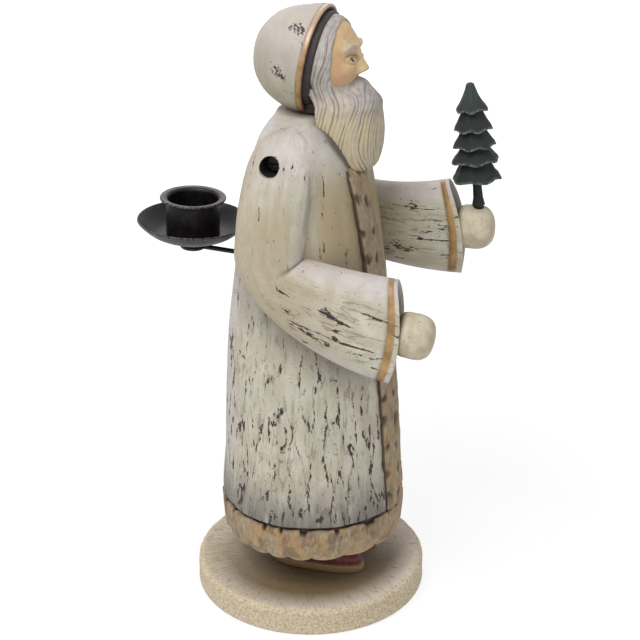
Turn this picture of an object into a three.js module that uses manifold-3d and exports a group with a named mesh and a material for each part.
// Hooded winter figure that carries a small tree in one hand and a taper-candle cup behind its back.
// Millimetres, +Z up, origin at the centre of the base's underside, the figure faces -Y.
import * as THREE from "three";
import { mergeVertices } from "three/addons/utils/BufferGeometryUtils.js";
import Module from "manifold-3d";

const wasm = await Module();
wasm.setup();

// Fits between neighbouring pieces
const GAP = 0.3;
const CUT_MARGIN = 1;

// Round base
const BASE_RADIUS = 54;
const BASE_THICKNESS = 13.3;
const BASE_TOP_ROUND = 2.6;
const BASE_FOOT_ROUND = 1.6;

// Boots: each station is its rise above the sole, half width, toe and heel; the last one is the shaft
const BOOT_SPREAD = 11;
const BOOT_STATIONS = [
  { rise: 0, half: 8.6, toe: 30, heel: 14 },
  { rise: 4, half: 8.6, toe: 30, heel: 14 },
  { rise: 4, half: 7.8, toe: 29, heel: 13 },
  { rise: 7.6, half: 7.8, toe: 27, heel: 13 },
  { rise: 10, half: 7.8, toe: 21, heel: 12.6 },
  { rise: 11.4, half: 7.8, toe: 15, heel: 12.2 },
  { rise: 15, half: 7.8, toe: 9, heel: 12 },
];
const BOOT_SQUARENESS = 2.5;
const BOOT_PLUG_DEPTH = 9;

// Screws that hold the boots down
const BASE_SCREW_RADIUS = 2;
const BASE_SCREW_HEAD_RADIUS = 4.2;
const BASE_SCREW_HEAD_HEIGHT = 2.6;
const BASE_SCREW_RECESS = 4;
const BASE_SCREW_BITE = 11;

// Robe: each station is its rise above the robe's underside, with the reach to the side, front and back
const HEM_LIFT = 20.5;
const HEM_OVERHANG = 2;
const ROBE_STATIONS = [
  { rise: 0, side: 40.2, front: 40.8, back: 38.2, power: 2 },
  { rise: 15, side: 40.8, front: 41.6, back: 39.2, power: 2 },
  { rise: 36, side: 40.1, front: 40.7, back: 39.8, power: 2 },
  { rise: 82, side: 37.8, front: 38, back: 37.1, power: 2.1 },
  { rise: 107, side: 36, front: 35.2, back: 34.2, power: 2.2 },
  { rise: 129, side: 34.8, front: 32.6, back: 30.4, power: 2.3 },
  { rise: 149, side: 34, front: 29.4, back: 27, power: 2.4 },
  { rise: 168, side: 33, front: 25.4, back: 23.6, power: 2.5 },
  { rise: 180, side: 31, front: 22, back: 20, power: 2.5 },
  { rise: 189, side: 27, front: 18.6, back: 16, power: 2.4 },
  { rise: 193, side: 22.6, front: 16.6, back: 14.4, power: 2.3 },
  { rise: 196, side: 16.6, front: 15, back: 13.4, power: 2.1 },
];
const ROBE_LEVELS = 16;

// Fur trim: the hem's section is given in shares of its height and thickness
const FUR_THICKNESS = 2.6;
const HEM_HEIGHT = 16.5;
const HEM_WAVE = 1;
const HEM_WAVES = 22;
const HEM_SECTION = [
  { up: 0.02, out: 0.4 },
  { up: 0.2, out: 0.95 },
  { up: 0.55, out: 1.05 },
  { up: 0.92, out: 0.9 },
  { up: 1, out: 0.4 },
];
const PLACKET_TOP_SHIFT = -9.5;
const PLACKET_FOOT_SHIFT = -1.5;
const PLACKET_TOP_HALF = 7.4;
const PLACKET_FOOT_HALF = 10;
const PLACKET_LENGTH = 160;
const PLACKET_LEVELS = 14;
const PLACKET_SECTION = [
  { across: -1, out: 0.45 },
  { across: -0.7, out: 0.95 },
  { across: 0, out: 1 },
  { across: 0.7, out: 0.95 },
  { across: 1, out: 0.45 },
];

// Sleeved arms, carved to an oval section and let into the robe's flanks
const ARM_THICKNESS = 18.5;
const ARM_INSET = 24;
const ARM_LEAN = 0.075;
const ARM_TOE_IN = 0.085;
const ARM_FULLNESS = 2.5;
const ARM_SEAT_SQUARENESS = 12;
const ARM_RECESS_REACH = 30;
const SHOULDER_TAPER = 0.5;
const SHOULDER_RISE = 183;
const SHOULDER_FORWARD = -2.5;
const CROWN_DOME = 17;
const CROWN_EDGE = 0.2;
const CUFF_HALF_HEIGHT = 22.4;
const CUFF_BULGE = 3.4;
const FOREARM_ROOT = -5;
const FOREARM_SWEEP = 26;
const ELBOW_SWEEP = 24;
const CREASE_FORWARD = 11;
const SLEEVE_FREE = { from: 14, to: 28 };
const RIGHT_ARM = { side: -1, pitch: THREE.MathUtils.degToRad(-7.5), reach: 54, drop: 62.6, rake: 1.8 };
const LEFT_ARM = { side: 1, pitch: THREE.MathUtils.degToRad(6.4), reach: 63.4, drop: 51.6, rake: -0.6 };

// Upper arm: reach forward and drop below the shoulder hole, at its crown and down its front and back edge
const ARM_CROWN = { forward: 1, drop: -11.6 };
const UPPER_ARM_FRONT = [
  { forward: 10, drop: -6.6 },
  { forward: 14.2, drop: 8 },
];
const UPPER_ARM_BACK = [
  { forward: -9, drop: -8.4 },
  { forward: -14.8, drop: 0 },
  { forward: -18.8, drop: 20 },
  { forward: -20.2, drop: 40 },
];

// Shoulder screws in their counterbores
const SHOULDER_BORE_RADIUS = 4.3;
const SHOULDER_BORE_DEPTH = 9;
const SHOULDER_SCREW_RADIUS = 2;
const SHOULDER_HEAD_RADIUS = 3.7;
const SHOULDER_HEAD_HEIGHT = 2.4;
const SHOULDER_SCREW_BITE = 10;

// Hands
const HAND_RADIUS = 10.2;
const HAND_FLATTEN = 0.84;
const HAND_LENGTH = 15;
const HAND_NECK = 1.4;
const HAND_SEAT = 1.5;
const TENON_RADIUS = 4;
const TENON_LENGTH = 13;

// Tree: each tier is its rim's height above the lowest rim and its radius
const TREE_TIERS = [
  { rise: 0, radius: 11.4 },
  { rise: 8.3, radius: 11 },
  { rise: 15, radius: 9.9 },
  { rise: 22.4, radius: 8.8 },
  { rise: 30.9, radius: 7.5 },
];
const TREE_HEIGHT = 43.2;
const TREE_TIP_RADIUS = 0.5;
const TREE_EDGE = 1;
const TREE_UNDERCUT = 2.4;
const TREE_WAIST = 0.52;
const TREE_SAG = { up: 0.62, inward: 0.56 };
const TREE_LOBES = 6;
const TREE_LOBE_DEPTH = 0.05;
const TREE_TWIST = 1.9;
const TRUNK_RADIUS = 2;
const TRUNK_FOOT_RADIUS = 3.2;
const TRUNK_FOOT_HEIGHT = 1.8;
const TRUNK_SHOW = 12;
const TRUNK_PEG = 10;
const TRUNK_TENON = 14;
const TRUNK_FORWARD = 8.4;

// Hood, its dark lining, head and beard
const HOOD_RISE = 22.2;
const HOOD_HALF_WIDTH = 23.3;
const HOOD_HALF_HEIGHT = 23;
const HOOD_BACK = 23.8;
const HOOD_FRONT = 34;
const HOOD_RIM_FORWARD = 3.8;
const HOOD_RIM_TILT = THREE.MathUtils.degToRad(14);
const LINING_STEP = 2.6;
const LINING_SHOW = 3;
const LINING_SEAT = 6;
const LINING_FOOT = 15.6;
const HEAD_HALF_WIDTH = 19;
const HEAD_HALF_HEIGHT = 20.4;
const HEAD_FRONT = 19;
const HEAD_BACK = 14;
const HEAD_FORWARD = 3;
const HEAD_DROP = 1.5;
const NECK_DOWEL_RADIUS = 5;
const NECK_DOWEL_DOWN = 18;
const NECK_DOWEL_UP = 12;
const BEARD_GROOVES = 11;
const BEARD_GROOVE_DEPTH = 0.7;
const BEARD_LEVELS = 11;
const BEARD_FULLNESS = 0.8;
const BEARD_STATIONS = [
  { drop: 47.6, half: 5, front: 26, back: 21 },
  { drop: 45.4, half: 10.4, front: 29, back: 19 },
  { drop: 38, half: 14.6, front: 31.8, back: 13 },
  { drop: 29, half: 17.2, front: 32.6, back: 9 },
  { drop: 20, half: 18.4, front: 31.4, back: 8 },
  { drop: 13, half: 18.4, front: 29.6, back: 5 },
  { drop: 8.6, half: 17.8, front: 28, back: 1 },
  { drop: 6.4, half: 16.8, front: 25, back: 1 },
];

// Face: soft mounds over the head's front, each with its reach, place and spread, mirrored left and right
const FACE_MOUNDS = [
  { out: 1.2, x: 2.4, z: -3.4, wide: 1.6, high: 1.6 },
  { out: 0.9, x: 5.6, z: 7, wide: 4.4, high: 1.8 },
  { out: -1.5, x: 6, z: 3.6, wide: 3.4, high: 2.4 },
  { out: 1.1, x: 6, z: 3.2, wide: 2, high: 1.4 },
  { out: 1.1, x: 8.6, z: -2, wide: 4, high: 3.6 },
];
const NOSE = { out: 4.6, half: 2.6, foot: -5.5, tip: -3, bridge: 6.5 };
const FACE_EDGE = { from: 0.35, to: 0.75 };

// Candle arm: a wire rod plugged into the back, a drip pan and a cup for a taper candle
const CANDLE_BACK = 56.2;
const CANDLE_TILT = THREE.MathUtils.degToRad(2);
const ROD_RISE = 126;
const ROD_RADIUS = 1.1;
const ROD_PLUG = 22;
const ROD_EYE_RADIUS = 6;
const SHEET = 0.8;
const PAN_RADIUS = 25.2;
const PAN_FLOOR_RADIUS = 12.4;
const PAN_DEPTH = 7.6;
const PAN_FOOT_RADIUS = 7.4;
const PAN_FOOT_HEIGHT = 3.4;
const CUP_BORE_RADIUS = 11.3;
const CUP_HEIGHT = 17.6;
const CUP_RIM_RADIUS = 14.9;
const RIVET_RADIUS = 1.4;
const RIVET_HEAD_RADIUS = 3;
const RIVET_HEAD_HEIGHT = 1.2;

// Facet counts
const ROUND = 28;
const SMALL_ROUND = 16;
const EGG_LEVELS = 12;
const CURVE_STEPS = 4;
const ARM_ROWS = 20;
const ARM_ROUND = 14;

// Heights that the sizes above add up to
const ROBE_BOTTOM = BASE_THICKNESS + HEM_LIFT + HEM_OVERHANG;
const ROBE_TOP = ROBE_BOTTOM + ROBE_STATIONS.at(-1).rise;
const HEM_BOTTOM = ROBE_BOTTOM - HEM_OVERHANG;
const HEM_TOP = HEM_BOTTOM + HEM_HEIGHT;
const SHOULDER_HEIGHT = ROBE_BOTTOM + SHOULDER_RISE;
const ELBOW_HEIGHT = SHOULDER_HEIGHT - UPPER_ARM_BACK.at(-1).drop;
const CROWN_HEIGHT = SHOULDER_HEIGHT - ARM_CROWN.drop;
const HOOD_BOTTOM = ROBE_TOP + GAP;
const HOOD_HEIGHT = ROBE_TOP + HOOD_RISE;
const HEAD_HEIGHT = HOOD_HEIGHT - HEAD_DROP;
const ROD_HEIGHT = ROBE_BOTTOM + ROD_RISE;
const SOLE = BASE_THICKNESS + GAP;
const BOOT_TOP = ROBE_BOTTOM + BOOT_PLUG_DEPTH;
const BASE_SCREW_TOP = BASE_THICKNESS + BASE_SCREW_BITE;
const TREE_CORE_TOP = TRUNK_SHOW + TREE_UNDERCUT + TRUNK_TENON;
const PAN_FOOT = ROD_RADIUS + GAP;
const PAN_FLOOR = PAN_FOOT + PAN_FOOT_HEIGHT;
const CUP_FLOOR = PAN_FLOOR + SHEET + GAP;

const { lerp, smoothstep } = THREE.MathUtils;

// A closed geometry as a solid for cuts and joins
function toSolid(geometry) {
  const bare = geometry.clone();
  bare.deleteAttribute("normal");
  bare.deleteAttribute("uv");
  const merged = mergeVertices(bare, 1e-4);
  return new wasm.Manifold(
    new wasm.Mesh({
      numProp: 3,
      vertProperties: merged.attributes.position.array,
      triVerts: new Uint32Array(merged.index.array),
    }),
  );
}

function toGeometry(solid) {
  const mesh = solid.getMesh();
  const geometry = new THREE.BufferGeometry();
  geometry.setAttribute("position", new THREE.BufferAttribute(mesh.vertProperties, 3));
  geometry.setIndex(new THREE.BufferAttribute(mesh.triVerts, 1));
  geometry.computeVertexNormals();
  return geometry;
}

function cut(geometry, ...cutters) {
  return toGeometry(cutters.reduce((rest, cutter) => rest.subtract(toSolid(cutter)), toSolid(geometry)));
}

function join(first, ...others) {
  return toGeometry(others.reduce((whole, other) => whole.add(toSolid(other)), toSolid(first)));
}

function keepInside(geometry, limit) {
  return toGeometry(toSolid(geometry).intersect(toSolid(limit)));
}

// A closed skin over rings of equal length; the rings run counter-clockwise as seen from the last one
function loft(rings) {
  const count = rings[0].length;
  const points = rings.flat();
  const faces = [];
  for (let ring = 0; ring + 1 < rings.length; ring += 1) {
    for (let step = 0; step < count; step += 1) {
      const a = ring * count + step;
      const b = ring * count + ((step + 1) % count);
      faces.push(a, b, b + count, a, b + count, a + count);
    }
  }
  capRing(points, faces, rings[0], 0, false);
  capRing(points, faces, rings.at(-1), (rings.length - 1) * count, true);
  return skin(points, faces);
}

function capRing(points, faces, ring, start, upward) {
  const centre = points.length;
  points.push(ring.reduce((sum, p) => sum.add(p), new THREE.Vector3()).divideScalar(ring.length));
  for (let step = 0; step < ring.length; step += 1) {
    const here = start + step;
    const next = start + ((step + 1) % ring.length);
    faces.push(centre, upward ? here : next, upward ? next : here);
  }
}

// A closed band: the same section carried round and joined to its own start
function loop(sections) {
  const count = sections[0].length;
  const faces = [];
  for (let index = 0; index < sections.length; index += 1) {
    const follow = (index + 1) % sections.length;
    for (let step = 0; step < count; step += 1) {
      const turn = (step + 1) % count;
      const [a, b] = [index * count + step, index * count + turn];
      const [c, d] = [follow * count + turn, follow * count + step];
      faces.push(a, d, c, a, c, b);
    }
  }
  return skin(sections.flat(), faces);
}

function skin(points, faces) {
  const geometry = new THREE.BufferGeometry().setFromPoints(points);
  geometry.setIndex(faces);
  geometry.computeVertexNormals();
  return geometry;
}

// A body of revolution about +Z from (radius, height) pairs that start and end on the axis
function turned(pairs, segments = ROUND) {
  const profile = pairs.map(([radius, height]) => new THREE.Vector2(radius, height));
  return new THREE.LatheGeometry(profile, segments).rotateX(Math.PI / 2);
}

function rod(radius, from, to, segments = SMALL_ROUND) {
  return turned([[0, from], [radius, from], [radius, to], [0, to]], segments);
}

// Points on a quarter turn from one angle to another about a centre, as (radius, height) pairs
function arcPairs(radius, height, bend, from, to) {
  return Array.from({ length: CURVE_STEPS + 1 }, (_, step) => {
    const angle = lerp(from, to, step / CURVE_STEPS);
    return [radius + bend * Math.cos(angle), height + bend * Math.sin(angle)];
  });
}

// A frame at a point whose Z runs along a direction and whose X stays level
function frameAlong(origin, direction) {
  const along = direction.clone().normalize();
  const level = new THREE.Vector3(1, 0, 0).addScaledVector(along, -along.x).normalize();
  const third = new THREE.Vector3().crossVectors(along, level);
  return new THREE.Matrix4().makeBasis(level, third, along).setPosition(origin);
}

// Smooth value of a field at a place between the stations of a list
function between(stations, key, field, place) {
  const last = stations.length - 1;
  const at = (index) => stations[Math.min(Math.max(index, 0), last)];
  let index = stations.findIndex((station) => station[key] > place) - 1;
  if (index < 0) index = place <= stations[0][key] ? 0 : last - 1;
  const [p0, p1, p2, p3] = [at(index - 1), at(index), at(index + 1), at(index + 2)];
  const span = p2[key] - p1[key];
  const t = THREE.MathUtils.clamp((place - p1[key]) / span, 0, 1);
  const slope = (a, b) => ((b[field] - a[field]) / (b[key] - a[key])) * span;
  const [m1, m2] = [slope(p0, p2), slope(p1, p3)];
  const lift = p2[field] - p1[field];
  return p1[field] + t * (m1 + t * (3 * lift - 2 * m1 - m2 + t * (m1 + m2 - 2 * lift)));
}

// Robe surface at an angle from the front, counter-clockwise from above, grown outward by a distance
function robePoint(angle, height, grow = 0) {
  const rise = height - ROBE_BOTTOM;
  const [sideways, forward] = [Math.sin(angle), Math.cos(angle)];
  const side = between(ROBE_STATIONS, "rise", "side", rise) + grow;
  const depth = between(ROBE_STATIONS, "rise", forward > 0 ? "front" : "back", rise) + grow;
  const power = 2 / between(ROBE_STATIONS, "rise", "power", rise);
  return new THREE.Vector3(
    side * Math.sign(sideways) * Math.abs(sideways) ** power,
    -depth * Math.sign(forward) * Math.abs(forward) ** power,
    height,
  );
}

function robeSkin(grow) {
  const rings = [];
  for (let level = 0; level <= ROBE_LEVELS; level += 1) {
    const height = lerp(ROBE_BOTTOM, ROBE_TOP, level / ROBE_LEVELS);
    const ring = Array.from({ length: ROUND }, (_, step) =>
      robePoint((step / ROUND) * 2 * Math.PI, height, grow),
    );
    rings.push(ring);
  }
  return loft(rings);
}

// Direction of a forearm, the direction across it and the middle of its cuff, in (forward, height)
function forearm(arm) {
  const along = new THREE.Vector2(Math.cos(arm.pitch), Math.sin(arm.pitch));
  const across = new THREE.Vector2(-along.y, along.x);
  const root = new THREE.Vector2(FOREARM_ROOT, SHOULDER_HEIGHT - arm.drop);
  return { along, across, cuff: root.addScaledVector(along, arm.reach) };
}

// Front and back edge of an arm in (forward, height), each in steps from the shoulder's crown to the cuff
function armEdges(arm) {
  const { along, across, cuff } = forearm(arm);
  const offset = (a, b) => cuff.clone().addScaledVector(along, a).addScaledVector(across, b);
  const spot = ({ forward, drop }) => new THREE.Vector2(forward, SHOULDER_HEIGHT - drop);
  const top = offset(-arm.rake, CUFF_HALF_HEIGHT);
  const foot = offset(arm.rake, -CUFF_HALF_HEIGHT);
  const sweep = offset(-FOREARM_SWEEP, -CUFF_HALF_HEIGHT);
  const crease = top.clone().addScaledVector(along, (CREASE_FORWARD - top.x) / along.x);
  const crown = spot(ARM_CROWN);
  const elbow = spot(UPPER_ARM_BACK.at(-1));
  const front = new THREE.Path();
  front.moveTo(crown.x, crown.y);
  front.splineThru([...UPPER_ARM_FRONT.map(spot), crease]);
  front.lineTo(top.x, top.y);
  const back = new THREE.Path();
  back.moveTo(crown.x, crown.y);
  back.splineThru(UPPER_ARM_BACK.map(spot));
  back.bezierCurveTo(elbow.x, elbow.y - ELBOW_SWEEP, sweep.x, sweep.y, foot.x, foot.y);
  return { front: front.getSpacedPoints(ARM_ROWS), back: back.getSpacedPoints(ARM_ROWS) };
}

// A place on an arm: forward and height in its side view, and depth out from its inner face; the outer face
// leans in towards the shoulder and domes over at its crown
function armPlace(arm, forward, height, depth) {
  const inner = ARM_INSET + ARM_LEAN * (SHOULDER_HEIGHT - height) - ARM_TOE_IN * forward;
  const climb = Math.max((height - ELBOW_HEIGHT) / (CROWN_HEIGHT - ELBOW_HEIGHT), 0);
  const dome = Math.max(1 - (CROWN_HEIGHT - height) / CROWN_DOME, 0);
  const swell = Math.sqrt(Math.max(1 - dome ** 2, CROWN_EDGE ** 2));
  const share = (1 - SHOULDER_TAPER * climb ** 2) * swell;
  return new THREE.Vector3(arm.side * (inner + depth * share), -forward, height);
}

// One oval section of an arm between its two edges; the inner half is squarer where the robe holds it
function armRing(arm, front, back, bulge) {
  const { along } = forearm(arm);
  const middle = front.clone().lerp(back, 0.5);
  const half = front.clone().sub(middle);
  const ring = Array.from({ length: ARM_ROUND }, (_, step) => {
    const turn = (step / ARM_ROUND) * 2 * Math.PI;
    const [forth, aside] = [Math.cos(turn), Math.sin(turn)];
    const free = smoothstep(middle.x + half.x * forth, SLEEVE_FREE.from, SLEEVE_FREE.to);
    const seated = lerp(ARM_SEAT_SQUARENESS, ARM_FULLNESS, free);
    const power = 2 / (aside > 0 ? ARM_FULLNESS : seated);
    const reach = Math.sign(forth) * Math.abs(forth) ** power;
    const depth = Math.sign(aside) * Math.abs(aside) ** power;
    const at = middle.clone().addScaledVector(half, reach).addScaledVector(along, bulge * (1 - reach ** 2));
    return armPlace(arm, at.x, at.y, (ARM_THICKNESS / 2) * (1 + depth));
  });
  return arm.side < 0 ? ring : ring.reverse();
}

function armDirection(arm) {
  const { along } = forearm(arm);
  const sideways = arm.side * (-ARM_LEAN * along.y - ARM_TOE_IN * along.x);
  return new THREE.Vector3(sideways, -along.x, along.y).normalize();
}

// Frame at the middle of the cuff's bulged end, with Z out along the forearm
function handFrame(arm) {
  const { along, cuff } = forearm(arm);
  const end = cuff.clone().addScaledVector(along, CUFF_BULGE - HAND_SEAT);
  return frameAlong(armPlace(arm, end.x, end.y, ARM_THICKNESS / 2), armDirection(arm));
}

function shoulderFrame(arm) {
  const outer = armPlace(arm, SHOULDER_FORWARD, SHOULDER_HEIGHT, ARM_THICKNESS);
  const turn = new THREE.Matrix4().makeRotationY((arm.side * Math.PI) / 2);
  return turn.setPosition(outer);
}

// Turned hand with its tenon; the same form, grown, cuts its seat in the sleeve
function handForm(grow) {
  const girth = HAND_RADIUS + grow;
  const tip = HAND_SEAT + HAND_LENGTH + grow;
  const shoulder = HAND_LENGTH + HAND_SEAT - HAND_RADIUS;
  const dome = arcPairs(0, 0, 1, 0, Math.PI / 2).map(([c, s]) => [
    girth * c,
    shoulder + (tip - shoulder) * s,
  ]);
  const profile = [
    [0, -TENON_LENGTH - grow],
    [TENON_RADIUS + grow, -TENON_LENGTH - grow],
    [TENON_RADIUS + grow, -grow],
    [girth - HAND_NECK, -grow],
    ...dome.slice(0, -1),
    [0, tip],
  ];
  return turned(profile, SMALL_ROUND + CURVE_STEPS).scale(HAND_FLATTEN, 1, 1);
}

// Shoulder counterbore and screw shank hole, with Z out of the arm's face
function shoulderBore(grow) {
  const floor = -SHOULDER_BORE_DEPTH;
  const shank = SHOULDER_SCREW_RADIUS + grow;
  const bottom = -ARM_THICKNESS - SHOULDER_SCREW_BITE - grow;
  return turned(
    [
      [0, bottom],
      [shank, bottom],
      [shank, floor],
      [SHOULDER_BORE_RADIUS, floor],
      [SHOULDER_BORE_RADIUS, SHOULDER_BORE_DEPTH],
      [0, SHOULDER_BORE_DEPTH],
    ],
    SMALL_ROUND,
  );
}

function shoulderScrew() {
  const seat = GAP - SHOULDER_BORE_DEPTH;
  const bottom = -ARM_THICKNESS - SHOULDER_SCREW_BITE;
  const crown = seat + SHOULDER_HEAD_HEIGHT;
  return turned(
    [
      [0, bottom],
      [SHOULDER_SCREW_RADIUS, bottom + SHOULDER_SCREW_RADIUS],
      [SHOULDER_SCREW_RADIUS, seat],
      [SHOULDER_HEAD_RADIUS, seat],
      [SHOULDER_HEAD_RADIUS, lerp(seat, crown, 0.5)],
      [SHOULDER_HEAD_RADIUS / 2, crown],
      [0, crown],
    ],
    SMALL_ROUND,
  );
}

function armForm(arm) {
  const { front, back } = armEdges(arm);
  const rings = front.slice(1).map((edge, index) => {
    const bulge = index + 2 === front.length ? CUFF_BULGE : 0;
    return armRing(arm, edge, back[index + 1], bulge);
  });
  const seat = handForm(GAP).applyMatrix4(handFrame(arm));
  const bore = shoulderBore(GAP).applyMatrix4(shoulderFrame(arm));
  return cut(loft(rings), seat, bore);
}

// A level section through a boot at one of its stations
function bootSection(height, station, grow) {
  return Array.from({ length: SMALL_ROUND }, (_, step) => {
    const angle = (step / SMALL_ROUND) * 2 * Math.PI;
    const [sideways, forward] = [Math.sin(angle), Math.cos(angle)];
    const depth = (forward > 0 ? station.toe : station.heel) + grow;
    const swell = 2 / BOOT_SQUARENESS;
    return new THREE.Vector3(
      (station.half + grow) * Math.sign(sideways) * Math.abs(sideways) ** swell,
      -depth * Math.sign(forward) * Math.abs(forward) ** swell,
      height,
    );
  });
}

function bootForm() {
  const rings = BOOT_STATIONS.map((station) => bootSection(SOLE + station.rise, station, 0));
  return loft([...rings, bootSection(BOOT_TOP, BOOT_STATIONS.at(-1), 0)]);
}

function bootSocket() {
  const shaft = BOOT_STATIONS.at(-1);
  return loft([
    bootSection(ROBE_BOTTOM - CUT_MARGIN, shaft, GAP),
    bootSection(BOOT_TOP + GAP, shaft, GAP),
  ]);
}

// Base screw standing in its recess, and the hole it needs through the base and into the boot
function baseScrew() {
  const head = BASE_SCREW_RECESS - BASE_SCREW_HEAD_HEIGHT;
  return turned(
    [
      [0, head],
      [BASE_SCREW_HEAD_RADIUS, head],
      [BASE_SCREW_HEAD_RADIUS, BASE_SCREW_RECESS],
      [BASE_SCREW_RADIUS, BASE_SCREW_RECESS],
      [BASE_SCREW_RADIUS, BASE_SCREW_TOP - BASE_SCREW_RADIUS],
      [0, BASE_SCREW_TOP],
    ],
    SMALL_ROUND,
  );
}

function baseScrewHole() {
  const shank = BASE_SCREW_RADIUS + GAP;
  const head = BASE_SCREW_HEAD_RADIUS + GAP;
  const floor = BASE_SCREW_RECESS + GAP;
  const top = BASE_SCREW_TOP + GAP;
  return turned(
    [[0, -CUT_MARGIN], [head, -CUT_MARGIN], [head, floor], [shank, floor], [shank, top], [0, top]],
    SMALL_ROUND,
  );
}

function baseForm() {
  const top = BASE_THICKNESS - BASE_TOP_ROUND;
  const rim = BASE_RADIUS - BASE_TOP_ROUND;
  const footRim = BASE_RADIUS - BASE_FOOT_ROUND;
  const disc = turned(
    [
      [0, 0],
      [footRim, 0],
      ...arcPairs(footRim, BASE_FOOT_ROUND, BASE_FOOT_ROUND, -Math.PI / 2, 0).slice(1),
      ...arcPairs(rim, top, BASE_TOP_ROUND, 0, Math.PI / 2),
      [0, BASE_THICKNESS],
    ],
    ROUND + SMALL_ROUND,
  );
  return cut(disc, ...sides((x) => baseScrewHole().translate(x, 0, 0)));
}

function sides(make) {
  return [-BOOT_SPREAD, BOOT_SPREAD].map(make);
}

// Recess for an arm in the robe's flank: the arm's outline, grown by the fit and open to the outside
function armRecess(arm) {
  const { front, back } = armEdges(arm);
  const outline = [...front, ...back.slice(1).reverse()];
  const normal = (a, b) => new THREE.Vector2(a.y - b.y, b.x - a.x).normalize();
  const grown = outline.map((here, index) => {
    const first = normal(outline.at(index - 1), here);
    const second = normal(here, outline[(index + 1) % outline.length]);
    return here.clone().addScaledVector(first.add(second).normalize(), GAP);
  });
  const depth = ARM_RECESS_REACH;
  const block = new THREE.ExtrudeGeometry(new THREE.Shape(grown), { depth, bevelEnabled: false });
  const floor = arm.side * (ARM_INSET - GAP + ARM_LEAN * SHOULDER_HEIGHT) + Math.max(arm.side, 0) * depth;
  const place = new THREE.Matrix4().set(
    -arm.side * ARM_TOE_IN, -arm.side * ARM_LEAN, -1, floor,
    -1, 0, 0, 0,
    0, 1, 0, 0,
    0, 0, 0, 1,
  );
  return block.applyMatrix4(place);
}

function robeForm() {
  return cut(
    robeSkin(0),
    ...sides((x) => bootSocket().translate(x, 0, 0)),
    armRecess(RIGHT_ARM),
    armRecess(LEFT_ARM),
    shoulderBore(GAP).applyMatrix4(shoulderFrame(RIGHT_ARM)),
    shoulderBore(GAP).applyMatrix4(shoulderFrame(LEFT_ARM)),
    rod(NECK_DOWEL_RADIUS + GAP, ROBE_TOP - NECK_DOWEL_DOWN - GAP, ROBE_TOP + CUT_MARGIN),
    rod(ROD_RADIUS + GAP, -ROD_PLUG - GAP, CANDLE_BACK).applyMatrix4(rodFrame()),
  );
}

// Fur hem: a padded band round the robe's foot, waved along its lower and upper edges
function hemForm() {
  const steps = HEM_WAVES * 3;
  const sections = Array.from({ length: steps }, (_, step) => {
    const angle = (step / steps) * 2 * Math.PI;
    const wave = HEM_WAVE * Math.cos(angle * HEM_WAVES);
    const foot = HEM_BOTTOM - wave;
    const brow = HEM_TOP - HEM_WAVE + wave;
    const at = (up, grow) => {
      const height = lerp(foot, brow, up);
      return robePoint(angle, Math.max(height, ROBE_BOTTOM), grow).setZ(height);
    };
    const outer = HEM_SECTION.map(({ up, out }) => at(up, FUR_THICKNESS * out));
    return [at(0, GAP), ...outer, at(1, GAP), at(0.5, GAP)];
  });
  return loop(sections);
}

// Fur placket: a padded strip down the front, drifting to the middle at the hem
function placketForm(grow) {
  const foot = HEM_TOP + GAP;
  const rings = [];
  for (let level = 0; level <= PLACKET_LEVELS; level += 1) {
    const share = level / PLACKET_LEVELS;
    const height = foot + share * (PLACKET_LENGTH + grow);
    const half = lerp(PLACKET_FOOT_HALF, PLACKET_TOP_HALF, share);
    const shift = lerp(PLACKET_FOOT_SHIFT, PLACKET_TOP_SHIFT, share);
    rings.push(placketRing(height, shift, half + grow, grow));
  }
  return loft(rings);
}

function placketRing(height, shift, half, grow) {
  const rise = height - ROBE_BOTTOM;
  const side = between(ROBE_STATIONS, "rise", "side", rise);
  const power = between(ROBE_STATIONS, "rise", "power", rise) / 2;
  const angleAt = (x) => Math.sign(x) * Math.asin(Math.min(Math.abs(x) / side, 1) ** power);
  const point = (across, out) => robePoint(angleAt(shift + across * half), height, out);
  const outer = PLACKET_SECTION.map(({ across, out }) => point(across, FUR_THICKNESS * out + grow));
  const inner = PLACKET_SECTION.map(({ across }) => point(across, GAP)).reverse();
  return [...outer, ...inner];
}

// Rounded bodies of the head: a ball with its own reach to each side, front, back, up and down
function eggForm(reach, segments, levels) {
  const ball = new THREE.SphereGeometry(1, segments, levels).rotateX(Math.PI / 2);
  const spots = ball.attributes.position;
  for (let i = 0; i < spots.count; i += 1) {
    const y = spots.getY(i);
    const depth = y < 0 ? reach.front : reach.back;
    spots.setXYZ(i, spots.getX(i) * reach.side, y * depth, spots.getZ(i) * reach.up);
  }
  return ball;
}

function hoodEgg(grow) {
  const reach = {
    side: HOOD_HALF_WIDTH + grow,
    front: HOOD_FRONT + grow,
    back: HOOD_BACK + grow,
    up: HOOD_HALF_HEIGHT + grow,
  };
  return eggForm(reach, ROUND, EGG_LEVELS).translate(0, 0, HOOD_HEIGHT);
}

// A block that fills the space from one distance to another in front of the hood's rim plane
function rimSlab(from, to) {
  const span = 4 * HOOD_HALF_HEIGHT;
  const slab = new THREE.BoxGeometry(span, to - from, span);
  slab.translate(0, -(from + to) / 2, 0);
  slab.rotateX(HOOD_RIM_TILT);
  return slab.translate(0, -HOOD_RIM_FORWARD, HOOD_HEIGHT);
}

function roomAbove(height) {
  const span = 4 * HOOD_HALF_HEIGHT;
  return new THREE.BoxGeometry(span, span, span).translate(0, 0, height + span / 2);
}

function hoodForm() {
  const back = keepInside(hoodEgg(0), rimSlab(-2 * HOOD_BACK, 0));
  const seat = keepInside(hoodEgg(GAP - LINING_STEP), rimSlab(-LINING_SEAT - GAP, LINING_SHOW));
  const dowel = rod(NECK_DOWEL_RADIUS + GAP, ROBE_TOP - CUT_MARGIN, ROBE_TOP + NECK_DOWEL_UP + GAP);
  return cut(keepInside(back, roomAbove(HOOD_BOTTOM)), seat, headSkin(GAP), dowel);
}

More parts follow.
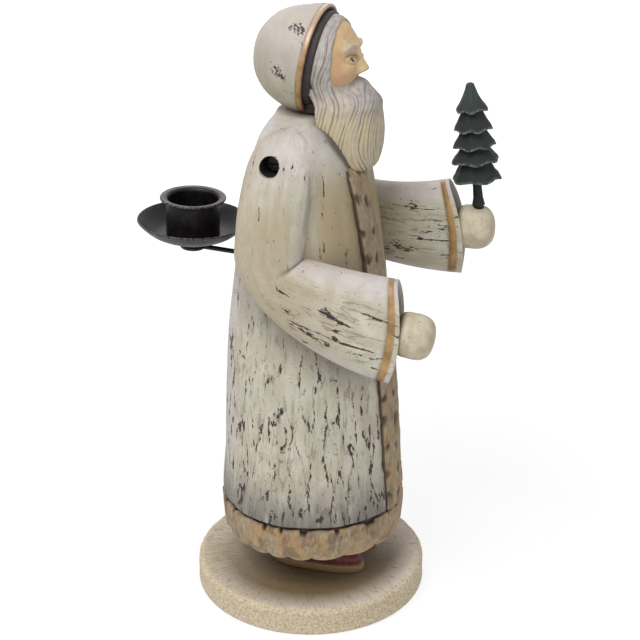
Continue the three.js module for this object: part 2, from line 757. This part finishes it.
function liningForm() {
  const ring = keepInside(hoodEgg(-LINING_STEP), rimSlab(-LINING_SEAT, LINING_SHOW));
  return cut(keepInside(ring, roomAbove(HOOD_HEIGHT - LINING_FOOT)), headSkin(GAP));
}

// Face relief over the head's egg: nose, brow, eyes and cheeks
function faceRelief(x, z) {
  const wide = Math.abs(x);
  const ridge = smoothstep(z, NOSE.foot, NOSE.tip) * (1 - smoothstep(z, NOSE.tip, NOSE.bridge));
  const nose = NOSE.out * ridge * Math.exp(-((wide / NOSE.half) ** 2));
  return FACE_MOUNDS.reduce(
    (sum, m) => sum + m.out * Math.exp(-(((wide - m.x) / m.wide) ** 2) - ((z - m.z) / m.high) ** 2),
    nose,
  );
}

// The head's outside, grown outward by a distance
function headSkin(grow) {
  const reach = {
    side: HEAD_HALF_WIDTH + grow,
    front: HEAD_FRONT + grow,
    back: HEAD_BACK + grow,
    up: HEAD_HALF_HEIGHT + grow,
  };
  const egg = eggForm(reach, ROUND, EGG_LEVELS);
  const spots = egg.attributes.position;
  for (let i = 0; i < spots.count; i += 1) {
    const [x, y, z] = [spots.getX(i), spots.getY(i), spots.getZ(i)];
    const facing = smoothstep(-y, FACE_EDGE.from * HEAD_FRONT, FACE_EDGE.to * HEAD_FRONT);
    spots.setY(i, y - facing * faceRelief(x, z));
  }
  return egg.translate(0, -HEAD_FORWARD, HEAD_HEIGHT);
}

function headForm() {
  const dowel = rod(NECK_DOWEL_RADIUS + GAP, ROBE_TOP - CUT_MARGIN, ROBE_TOP + NECK_DOWEL_UP + GAP);
  return cut(headSkin(0), dowel);
}

// Beard: grooved lengthwise, seated on the chest and round the lower face
function beardForm() {
  const rings = [];
  const upward = BEARD_STATIONS.map((station) => ({ ...station, rise: -station.drop }));
  for (let level = 0; level <= BEARD_LEVELS; level += 1) {
    const rise = lerp(upward[0].rise, upward.at(-1).rise, level / BEARD_LEVELS);
    const value = (field) => between(upward, "rise", field, rise);
    rings.push(beardRing(HOOD_HEIGHT + rise, value("half"), value("front"), value("back")));
  }
  const front = keepInside(loft(rings), rimSlab(LINING_SHOW + GAP, 3 * HEAD_FRONT));
  return cut(front, headSkin(GAP), robeSkin(GAP), placketForm(GAP));
}

function beardRing(height, half, front, back) {
  const steps = 2 * BEARD_GROOVES;
  return Array.from({ length: steps + 1 }, (_, step) => {
    const angle = lerp(-Math.PI / 2, Math.PI / 2, step / steps);
    const groove = 1 - (BEARD_GROOVE_DEPTH / front) * (step % 2);
    const sideways = half * groove * Math.sin(angle);
    const forward = back + (front - back) * groove * Math.cos(angle) ** BEARD_FULLNESS;
    return new THREE.Vector3(sideways, -forward, height);
  });
}

// Tree foliage: tiers that flare to a lobed rim and tuck in below the next one
function foliageForm() {
  const rings = [];
  const steps = TREE_LOBES * 3;
  const lobed = (height, radius, phase) =>
    Array.from({ length: steps }, (_, step) => {
      const angle = (step / steps) * 2 * Math.PI;
      const reach = radius * (1 - TREE_LOBE_DEPTH + TREE_LOBE_DEPTH * Math.cos(TREE_LOBES * angle + phase));
      return new THREE.Vector3(reach * Math.sin(angle), -reach * Math.cos(angle), TRUNK_SHOW + height);
    });
  TREE_TIERS.forEach((tier, index) => {
    const next = TREE_TIERS[index + 1];
    const phase = index * TREE_TWIST;
    const tip = next ? next.rise : TREE_HEIGHT;
    const waist = next ? next.radius * TREE_WAIST : TREE_TIP_RADIUS;
    const sag = [lerp(tier.rise, tip, TREE_SAG.up), lerp(tier.radius, waist, TREE_SAG.inward)];
    if (index === 0) rings.push(lobed(TREE_UNDERCUT, TRUNK_FOOT_RADIUS, phase));
    rings.push(lobed(tier.rise, tier.radius, phase));
    rings.push(lobed(tier.rise + TREE_EDGE, tier.radius, phase));
    rings.push(lobed(...sag, phase));
    rings.push(lobed(tip + (next ? TREE_UNDERCUT : 0), waist, phase));
  });
  return cut(loft(rings), rod(TRUNK_RADIUS + GAP, 0, TREE_CORE_TOP + GAP));
}

function trunkForm() {
  return turned(
    [
      [0, -TRUNK_PEG],
      [TRUNK_RADIUS, -TRUNK_PEG],
      [TRUNK_RADIUS, 0],
      [TRUNK_FOOT_RADIUS, 0],
      [TRUNK_RADIUS, TRUNK_FOOT_HEIGHT],
      [TRUNK_RADIUS, TREE_CORE_TOP],
      [0, TREE_CORE_TOP],
    ],
    SMALL_ROUND,
  );
}

// Frame on top of the left hand, square to the forearm, where the trunk stands
function treeFrame() {
  const { along, across, cuff } = forearm(LEFT_ARM);
  const foot = cuff.clone();
  foot.addScaledVector(along, CUFF_BULGE + TRUNK_FORWARD);
  foot.addScaledVector(across, HAND_RADIUS + GAP);
  const middle = armPlace(LEFT_ARM, foot.x, foot.y, ARM_THICKNESS / 2);
  return frameAlong(middle, new THREE.Vector3(0, -across.x, across.y));
}

function leftHandForm() {
  const peg = rod(TRUNK_RADIUS + GAP, -TRUNK_PEG - GAP, HAND_RADIUS).applyMatrix4(treeFrame());
  return cut(handForm(0).applyMatrix4(handFrame(LEFT_ARM)), peg);
}

// Frame of the candle arm where the rod leaves the robe's back, with Z out along the rod
function rodFrame() {
  const back = robePoint(Math.PI, ROD_HEIGHT).y;
  const direction = new THREE.Vector3(0, Math.cos(CANDLE_TILT), Math.sin(CANDLE_TILT));
  return frameAlong(new THREE.Vector3(0, back, ROD_HEIGHT), direction);
}

function rodLength() {
  return (CANDLE_BACK - robePoint(Math.PI, ROD_HEIGHT).y) / Math.cos(CANDLE_TILT);
}

// Frame on the rod under the pan's middle, with Z up square to the rod
function candleFrame() {
  const lift = rodLength() * Math.sin(CANDLE_TILT);
  const up = new THREE.Vector3(0, -Math.sin(CANDLE_TILT), Math.cos(CANDLE_TILT));
  return frameAlong(new THREE.Vector3(0, CANDLE_BACK, ROD_HEIGHT + lift), up);
}

function rodForm() {
  const wire = rod(ROD_RADIUS, -ROD_PLUG, rodLength() - ROD_EYE_RADIUS / 2, SMALL_ROUND / 2);
  const eye = rod(ROD_EYE_RADIUS, -ROD_RADIUS, ROD_RADIUS).applyMatrix4(candleFrame());
  const hole = rod(RIVET_RADIUS + GAP, -PAN_DEPTH, PAN_DEPTH).applyMatrix4(candleFrame());
  return cut(join(wire.applyMatrix4(rodFrame()), eye), hole);
}

// Drip pan: a dished plate on a low foot
function panForm() {
  const lip = PAN_FLOOR + PAN_DEPTH;
  const spread = PAN_RADIUS - PAN_FLOOR_RADIUS;
  const shares = Array.from({ length: CURVE_STEPS + 1 }, (_, step) => step / CURVE_STEPS);
  const dish = (thickness) =>
    shares.map((share) => [
      PAN_FLOOR_RADIUS + (spread - thickness) * share,
      PAN_FLOOR + thickness + (PAN_DEPTH - thickness) * share ** 2,
    ]);
  const pan = turned([
    [0, PAN_FOOT],
    [PAN_FOOT_RADIUS, PAN_FOOT],
    [PAN_FOOT_RADIUS, PAN_FLOOR],
    ...dish(0),
    ...dish(SHEET).reverse(),
    [0, PAN_FLOOR + SHEET],
  ]);
  return cut(pan, rod(RIVET_RADIUS + GAP, 0, lip));
}

// Candle cup: a straight wall that rolls out to a flared rim
function cupForm() {
  const top = CUP_FLOOR + CUP_HEIGHT;
  const wall = CUP_BORE_RADIUS + SHEET;
  const flare = CUP_RIM_RADIUS - CUP_BORE_RADIUS;
  const roll = (bend) => arcPairs(CUP_RIM_RADIUS, top - flare, bend, Math.PI, Math.PI / 2);
  const cup = turned([
    [0, CUP_FLOOR],
    [wall, CUP_FLOOR],
    ...roll(flare - SHEET),
    ...roll(flare).reverse(),
    [CUP_BORE_RADIUS, CUP_FLOOR + SHEET],
    [0, CUP_FLOOR + SHEET],
  ]);
  return cut(cup, rod(RIVET_RADIUS + GAP, 0, top));
}

function rivetForm() {
  const seat = CUP_FLOOR + SHEET + GAP;
  const crown = seat + RIVET_HEAD_HEIGHT;
  const clench = -ROD_RADIUS - GAP;
  const tail = clench - RIVET_HEAD_HEIGHT;
  return turned(
    [
      [0, tail],
      [RIVET_HEAD_RADIUS / 2, tail],
      [RIVET_HEAD_RADIUS, clench],
      [RIVET_RADIUS, clench],
      [RIVET_RADIUS, seat],
      [RIVET_HEAD_RADIUS, seat],
      [RIVET_HEAD_RADIUS / 2, crown],
      [0, crown],
    ],
    SMALL_ROUND,
  );
}

// Colours and finishes
const paint = (color, roughness, metalness = 0) =>
  new THREE.MeshStandardMaterial({ color, roughness, metalness });
const CREAM = 0xd6cfbd;
const SKIN = 0xdec396;
const FUR = 0xbeaa8c;
const BLACK_IRON = 0x262224;
const STEEL = 0x9a9a98;

const figure = new THREE.Group();

function add(name, geometry, material, frame) {
  const mesh = new THREE.Mesh(geometry, material);
  mesh.name = name;
  if (frame) mesh.applyMatrix4(frame);
  figure.add(mesh);
}

// Base, boots and their screws
add("base_disc", baseForm(), paint(0xcdbeaa, 0.9));
for (const [name, x] of [["right", -BOOT_SPREAD], ["left", BOOT_SPREAD]]) {
  const place = new THREE.Matrix4().makeTranslation(x, 0, 0);
  add(`${name}_boot`, cut(bootForm(), baseScrewHole()), paint(0x5f2328, 0.6), place);
  add(`${name}_base_screw`, baseScrew(), paint(STEEL, 0.35, 1), place);
}

// Robe and its fur
add("robe_body", robeForm(), paint(CREAM, 0.75));
add("fur_hem", hemForm(), paint(FUR, 0.9));
add("fur_placket", placketForm(0), paint(FUR, 0.9));

// Head
const dowel = rod(NECK_DOWEL_RADIUS, ROBE_TOP - NECK_DOWEL_DOWN, ROBE_TOP + NECK_DOWEL_UP);
add("neck_dowel", dowel, paint(0xb89468, 0.8));
add("hood", hoodForm(), paint(CREAM, 0.75));
add("hood_lining", liningForm(), paint(0x3c2d28, 0.8));
add("head", headForm(), paint(SKIN, 0.6));
add("beard", beardForm(), paint(0xcdc3aa, 0.8));

// Arms, hands and shoulder screws
for (const [name, arm] of [["right", RIGHT_ARM], ["left", LEFT_ARM]]) {
  add(`${name}_arm`, armForm(arm), paint(CREAM, 0.75));
  add(`${name}_shoulder_screw`, shoulderScrew(), paint(STEEL, 0.35, 1), shoulderFrame(arm));
}
add("right_hand", handForm(0), paint(0xded6c0, 0.7), handFrame(RIGHT_ARM));
add("left_hand", leftHandForm(), paint(0xded6c0, 0.7));

// Tree
add("tree_foliage", foliageForm(), paint(0x37413e, 0.85), treeFrame());
add("tree_trunk", trunkForm(), paint(0x2e3532, 0.85), treeFrame());

// Candle arm
add("candle_rod", rodForm(), paint(BLACK_IRON, 0.5, 0.8));
add("candle_pan", panForm(), paint(BLACK_IRON, 0.5, 0.8), candleFrame());
add("candle_cup", cupForm(), paint(BLACK_IRON, 0.5, 0.8), candleFrame());
add("candle_rivet", rivetForm(), paint(BLACK_IRON, 0.5, 0.8), candleFrame());

export default figure;
